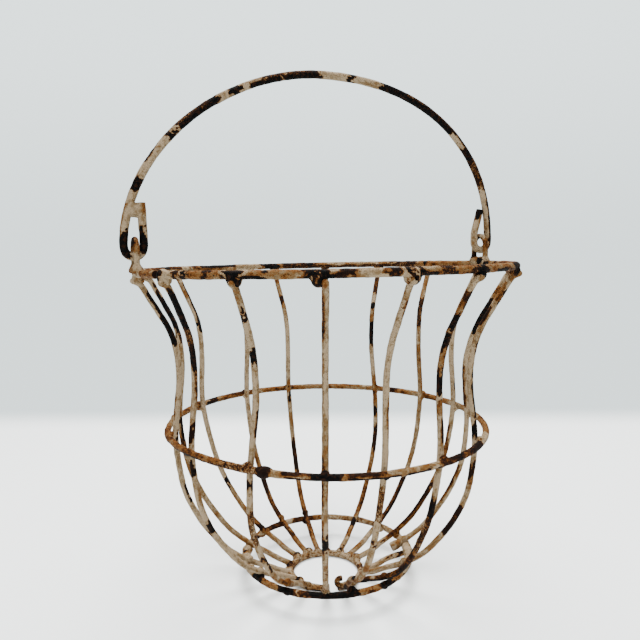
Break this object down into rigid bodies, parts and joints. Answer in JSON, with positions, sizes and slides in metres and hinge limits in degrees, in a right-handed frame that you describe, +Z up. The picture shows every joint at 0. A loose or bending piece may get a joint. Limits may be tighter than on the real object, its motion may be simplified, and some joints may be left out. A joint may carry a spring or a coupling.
{
  "type": "wire hanging basket",
  "caption": "Open wire hanging basket with S-curved ribs between a wide rim and a small open hub, and a bail handle that swings in two eyes.",
  "frame": {"origin": "on the basket's axis, on the surface that the hub stands on", "axes": "+Z up along the basket's axis; the bail's axis runs along X, through the two ears"},
  "size_m": [0.2632, 0.2501, 0.3404],
  "materials": {
    "cream_paint": "old cream paint, chipped to black and rust",
    "rusty_paint": "cream paint worn to orange rust, with black underneath",
    "black_paint": "old black paint with cream patches and rust"
  },
  "bodies": {
    "basket": {"top_rim": "rusty_paint", "belly_ring": "rusty_paint", "base_ring": "rusty_paint", "hub_ring": "cream_paint", "rib_01": "cream_paint", "rib_02": "cream_paint", "rib_03": "cream_paint", "rib_04": "cream_paint", "rib_05": "cream_paint", "rib_06": "cream_paint", "rib_07": "cream_paint", "rib_08": "cream_paint", "rib_09": "cream_paint", "rib_10": "cream_paint", "rib_11": "cream_paint", "rib_12": "cream_paint", "rib_13": "cream_paint", "rib_14": "cream_paint", "rib_15": "cream_paint", "rib_16": "cream_paint", "foot_wire": "cream_paint", "ear_left": "cream_paint", "ear_right": "cream_paint"},
    "bail": {"bail_handle": "black_paint"}
  },
  "joints": [
    {"name": "bail_hinge", "type": "hinge", "parent": "basket", "child": "bail", "pos_m": [0, 0, 0.224], "axis": [1, 0, 0], "range_deg": [-94, 90]}
  ]
}
